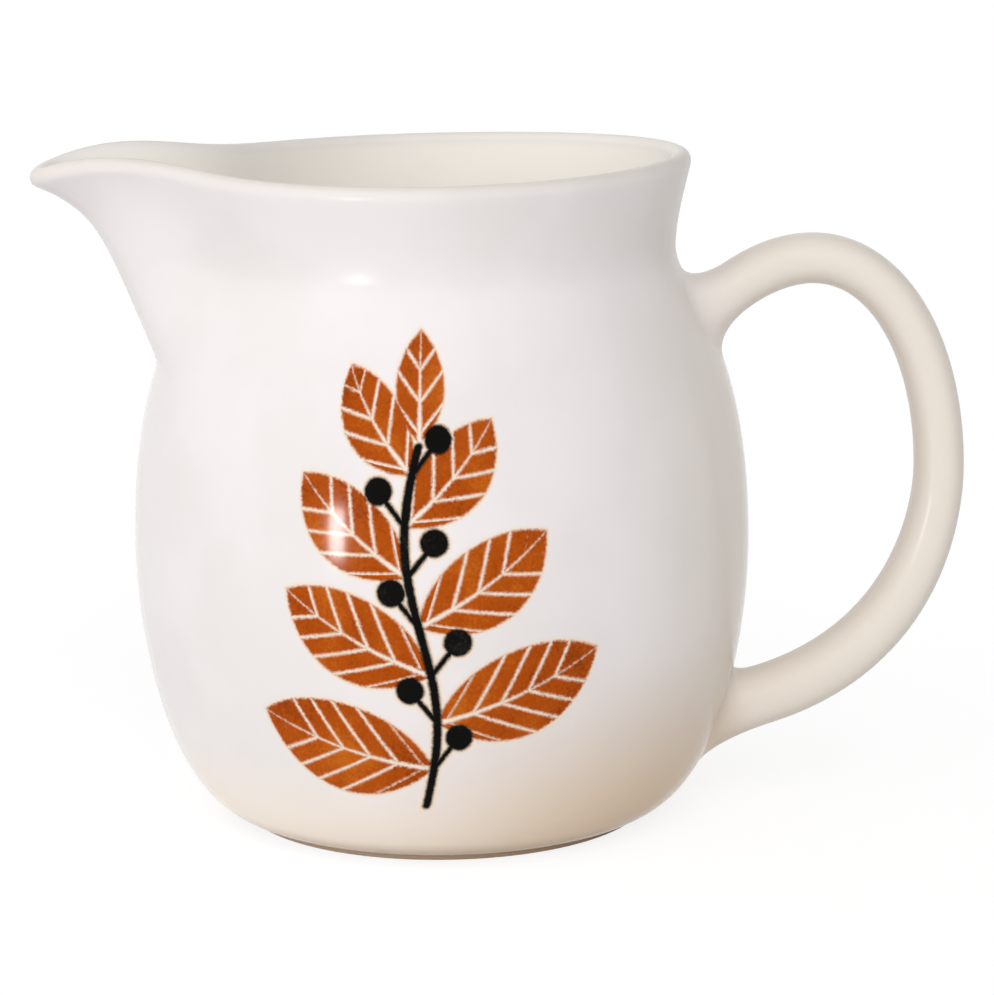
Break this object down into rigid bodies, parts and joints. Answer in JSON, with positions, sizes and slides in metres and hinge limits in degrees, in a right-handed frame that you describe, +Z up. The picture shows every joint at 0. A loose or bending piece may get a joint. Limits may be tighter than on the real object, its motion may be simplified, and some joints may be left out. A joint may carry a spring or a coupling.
{
  "type": "milk jug",
  "caption": "Round-bellied glazed ceramic milk jug with a drawn pouring spout and a loop handle luted to the wall.",
  "frame": {"origin": "on the table plane, in the jug's symmetry plane, half way between the spout's tip and the handle's outermost point", "axes": "+Z up, +X towards the handle, spout towards -X, +Y to the left when looking from the spout to the handle"},
  "size_m": [0.1686, 0.1122, 0.122],
  "materials": {
    "body_glaze": "clear glossy glaze over off-white earthenware",
    "handle_glaze": "clear glossy glaze over cream earthenware",
    "joint_glaze": "glazed slip, the same clay as the body",
    "foot_bisque": "bare fired clay, wiped free of glaze",
    "print_rust": "sprayed rust-orange underglaze colour",
    "print_black": "sprayed black underglaze colour"
  },
  "bodies": {
    "root": {"jug_body": "body_glaze", "handle": "handle_glaze", "upper_slip_joint": "joint_glaze", "lower_slip_joint": "joint_glaze"}
  },
  "joints": []
}
